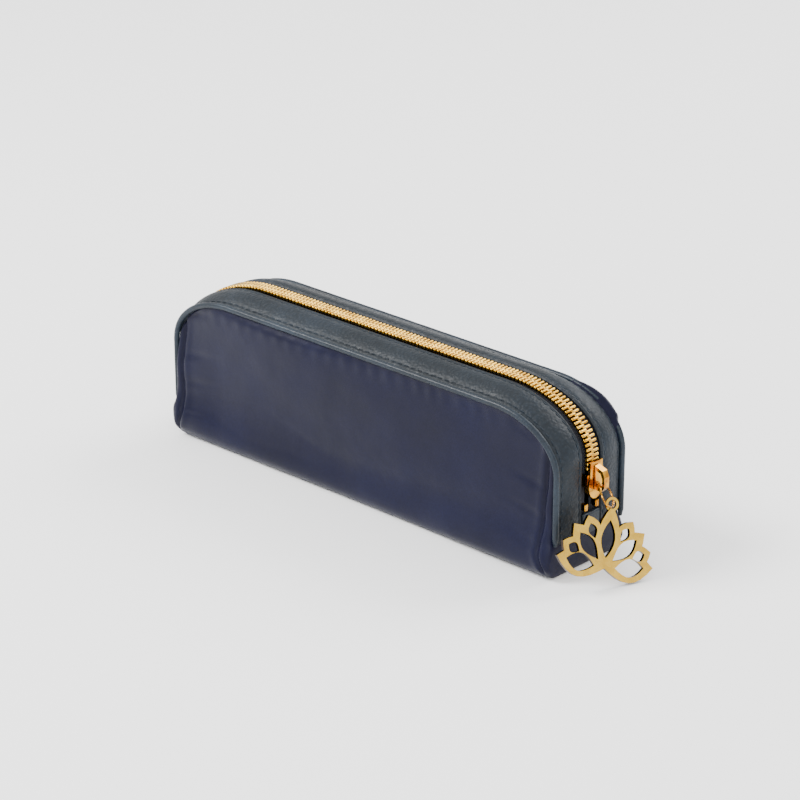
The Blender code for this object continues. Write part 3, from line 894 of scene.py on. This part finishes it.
def leather_material(name, grain, depth, stops, low, high):
    shader = Shader(name, stops[1][1], low)
    shader.surface.inputs["Specular IOR Level"].default_value = 0.25
    pebbles = shader.cells(grain)
    creases = shader.noise(grain * 2.4, 4)
    fine = shader.noise(grain * 0.3, 2)
    wear = shader.noise(0.02, 3)
    height = shader.math("SUBTRACT", shader.math("MULTIPLY", creases, 0.5), pebbles)
    shader.bump(height, depth, 0.9)
    shader.bump(fine, depth * 0.25, 0.5)
    worn = shader.math("MULTIPLY", wear, 0.75)
    tone = shader.math("SUBTRACT", worn, shader.math("MULTIPLY", pebbles, 0.3))
    shader.colours(shader.math("ADD", tone, 0.25), stops)
    shader.roughness(creases, low, high)
    return shader.material


def metal_material(name, colour, darker, low, high, grain):
    shader = Shader(name, colour, low, 1.0)
    cloud = shader.noise(0.004, 3)
    shader.colours(cloud, ((0.3, darker), (0.6, colour)))
    shader.roughness(shader.noise(0.002, 4), low, high)
    shader.bump(shader.noise(grain, 2), 0.00002, 0.35)
    return shader.material


def pierced_plate_material(name, colour, darker, edge, part):
    """Polished gold on the plate's two faces, with painted shade on the cut edges: the walls and
    bevels that turn away from the faces are coloured dark brown, standing in for the dark
    surroundings they reflect.
    """
    flat = max(part.data.polygons, key=lambda face: face.area).normal
    shader = Shader(name, colour, 0.24, 1.0)
    facing = shader.nodes.new("ShaderNodeVectorMath")
    facing.operation = "DOT_PRODUCT"
    facing.inputs[1].default_value = flat
    shader.links.new(shader.coordinates.outputs["Normal"], facing.inputs[0])
    level = shader.math("ABSOLUTE", facing.outputs["Value"], 0.0)
    shade = shader.spread(shader.noise(0.004, 3), 0.2, 0.8, 0.8, 1.0)
    # Towards 0 the ramp paints shade on the walls and bevels. Near 1 the faces vary at random
    # between the two golds.
    stops = ((0.35, edge), (0.72, darker), (0.95, colour))
    shader.colours(shader.math("MULTIPLY", level, shade), stops)
    shader.roughness(shader.noise(0.002, 4), 0.2, 0.32)
    shader.bump(shader.noise(0.0005, 2), 0.00002, 0.3)
    return shader.material


def woven_material(name, stops, pitch, roughness):
    shader = Shader(name, stops[1][1], roughness)
    warp = shader.wave(pitch, "X")
    weft = shader.wave(pitch * 1.6, "Y")
    weave = shader.math("MULTIPLY", warp, weft)
    shader.bump(weave, pitch * 0.3, 0.8)
    threads = shader.math("MULTIPLY", weave, 0.5)
    cloud = shader.math("MULTIPLY", shader.noise(0.003), 0.5)
    shader.colours(shader.math("ADD", threads, cloud), stops)
    return shader.material


def floor_material():
    shader = Shader("pale_floor", "fafafa", 0.8)
    shader.surface.inputs["Specular IOR Level"].default_value = 0.15
    return shader.material


# Stage

def add_area(name, size, power, location):
    lamp = bpy.data.lights.new(name, "AREA")
    lamp.shape = "DISK"
    lamp.size = size
    lamp.energy = power
    holder = bpy.data.objects.new(name, lamp)
    bpy.context.collection.objects.link(holder)
    holder.location = location
    aim = Vector(LIGHT_TARGET) - Vector(location)
    holder.rotation_euler = aim.to_track_quat("-Z", "Y").to_euler()


def build_stage():
    bpy.ops.mesh.primitive_plane_add(size=FLOOR_SIZE, location=(0, 0, CAD_BOX[0].z))
    floor = bpy.context.object
    floor.name = "floor"
    floor.data.materials.append(floor_material())

    world = bpy.data.worlds.new("studio")
    world.use_nodes = True
    sky = world.node_tree.nodes["Background"]
    sky.inputs["Color"].default_value = (1, 1, 1, 1)
    sky.inputs["Strength"].default_value = SKY_STRENGTH
    bpy.context.scene.world = world

    for light in LIGHTS:
        add_area(*light)


def build_camera():
    level = math.cos(CAMERA_ELEVATION)
    east = math.sin(CAMERA_AZIMUTH)
    north = math.cos(CAMERA_AZIMUTH)
    back = Vector((east * level, -north * level, math.sin(CAMERA_ELEVATION)))
    right = Vector((north, east, 0))
    up = back.cross(right)
    camera = bpy.data.cameras.new("camera")
    camera.sensor_width = CAMERA_SENSOR
    camera.lens = CAMERA_LENS
    holder = bpy.data.objects.new("camera", camera)
    bpy.context.collection.objects.link(holder)
    holder.location = right * CAMERA_SIDEWAYS + up * CAMERA_RISE + back * CAMERA_DISTANCE
    holder.rotation_mode = "QUATERNION"
    holder.rotation_quaternion = Matrix((right, up, back)).transposed().to_quaternion()
    bpy.context.scene.camera = holder


def main():
    leather = leather_material("pebbled_leather", 0.001, 0.00022, BAND_STOPS, 0.42, 0.6)
    # Smoother leather, whose lighter colours are painted highlight on the same leather as the
    # bands.
    edging = leather_material("smooth_leather_painted_highlight", 0.0006, 0.00006, EDGE_HIGHLIGHT_STOPS, 0.32, 0.46)
    thread = leather_material("thread", 0.0004, 0.00008, EDGE_HIGHLIGHT_STOPS, 0.5, 0.65)
    nylon = nylon_material()
    lining = woven_material("lining_cloth", LINING_STOPS, 0.0005, 0.6)
    foam = leather_material("foam", 0.0012, 0.0002, FOAM_STOPS, 0.85, 0.95)
    tape = woven_material("zip_tape", TAPE_STOPS, 0.0006, 0.75)
    teeth_gold = metal_material("teeth_gold", "dcb04a", "a87a20", 0.2, 0.34, 0.0004)
    slider_gold = metal_material("slider_gold", "dca238", "9c5f10", 0.12, 0.22, 0.0005)
    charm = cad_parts["lotus_charm"]
    # 3a2408 is the painted shade on the charm's cut walls.
    charm_gold = pierced_plate_material("pale_gold", "e2b84e", "c0922f", "3a2408", charm)
    build_shell(nylon, foam, lining)
    for side in (-1, 1):
        build_band(side, leather)
        build_stitches(side, thread)
        build_piping(side, edging)
        build_tape(side, tape)
        build_teeth(side, teeth_gold)
        build_tab(side, edging)
    finish_metal(slider_gold, charm_gold)
    build_stage()
    build_camera()


main()
bpy.context.view_layer.update()
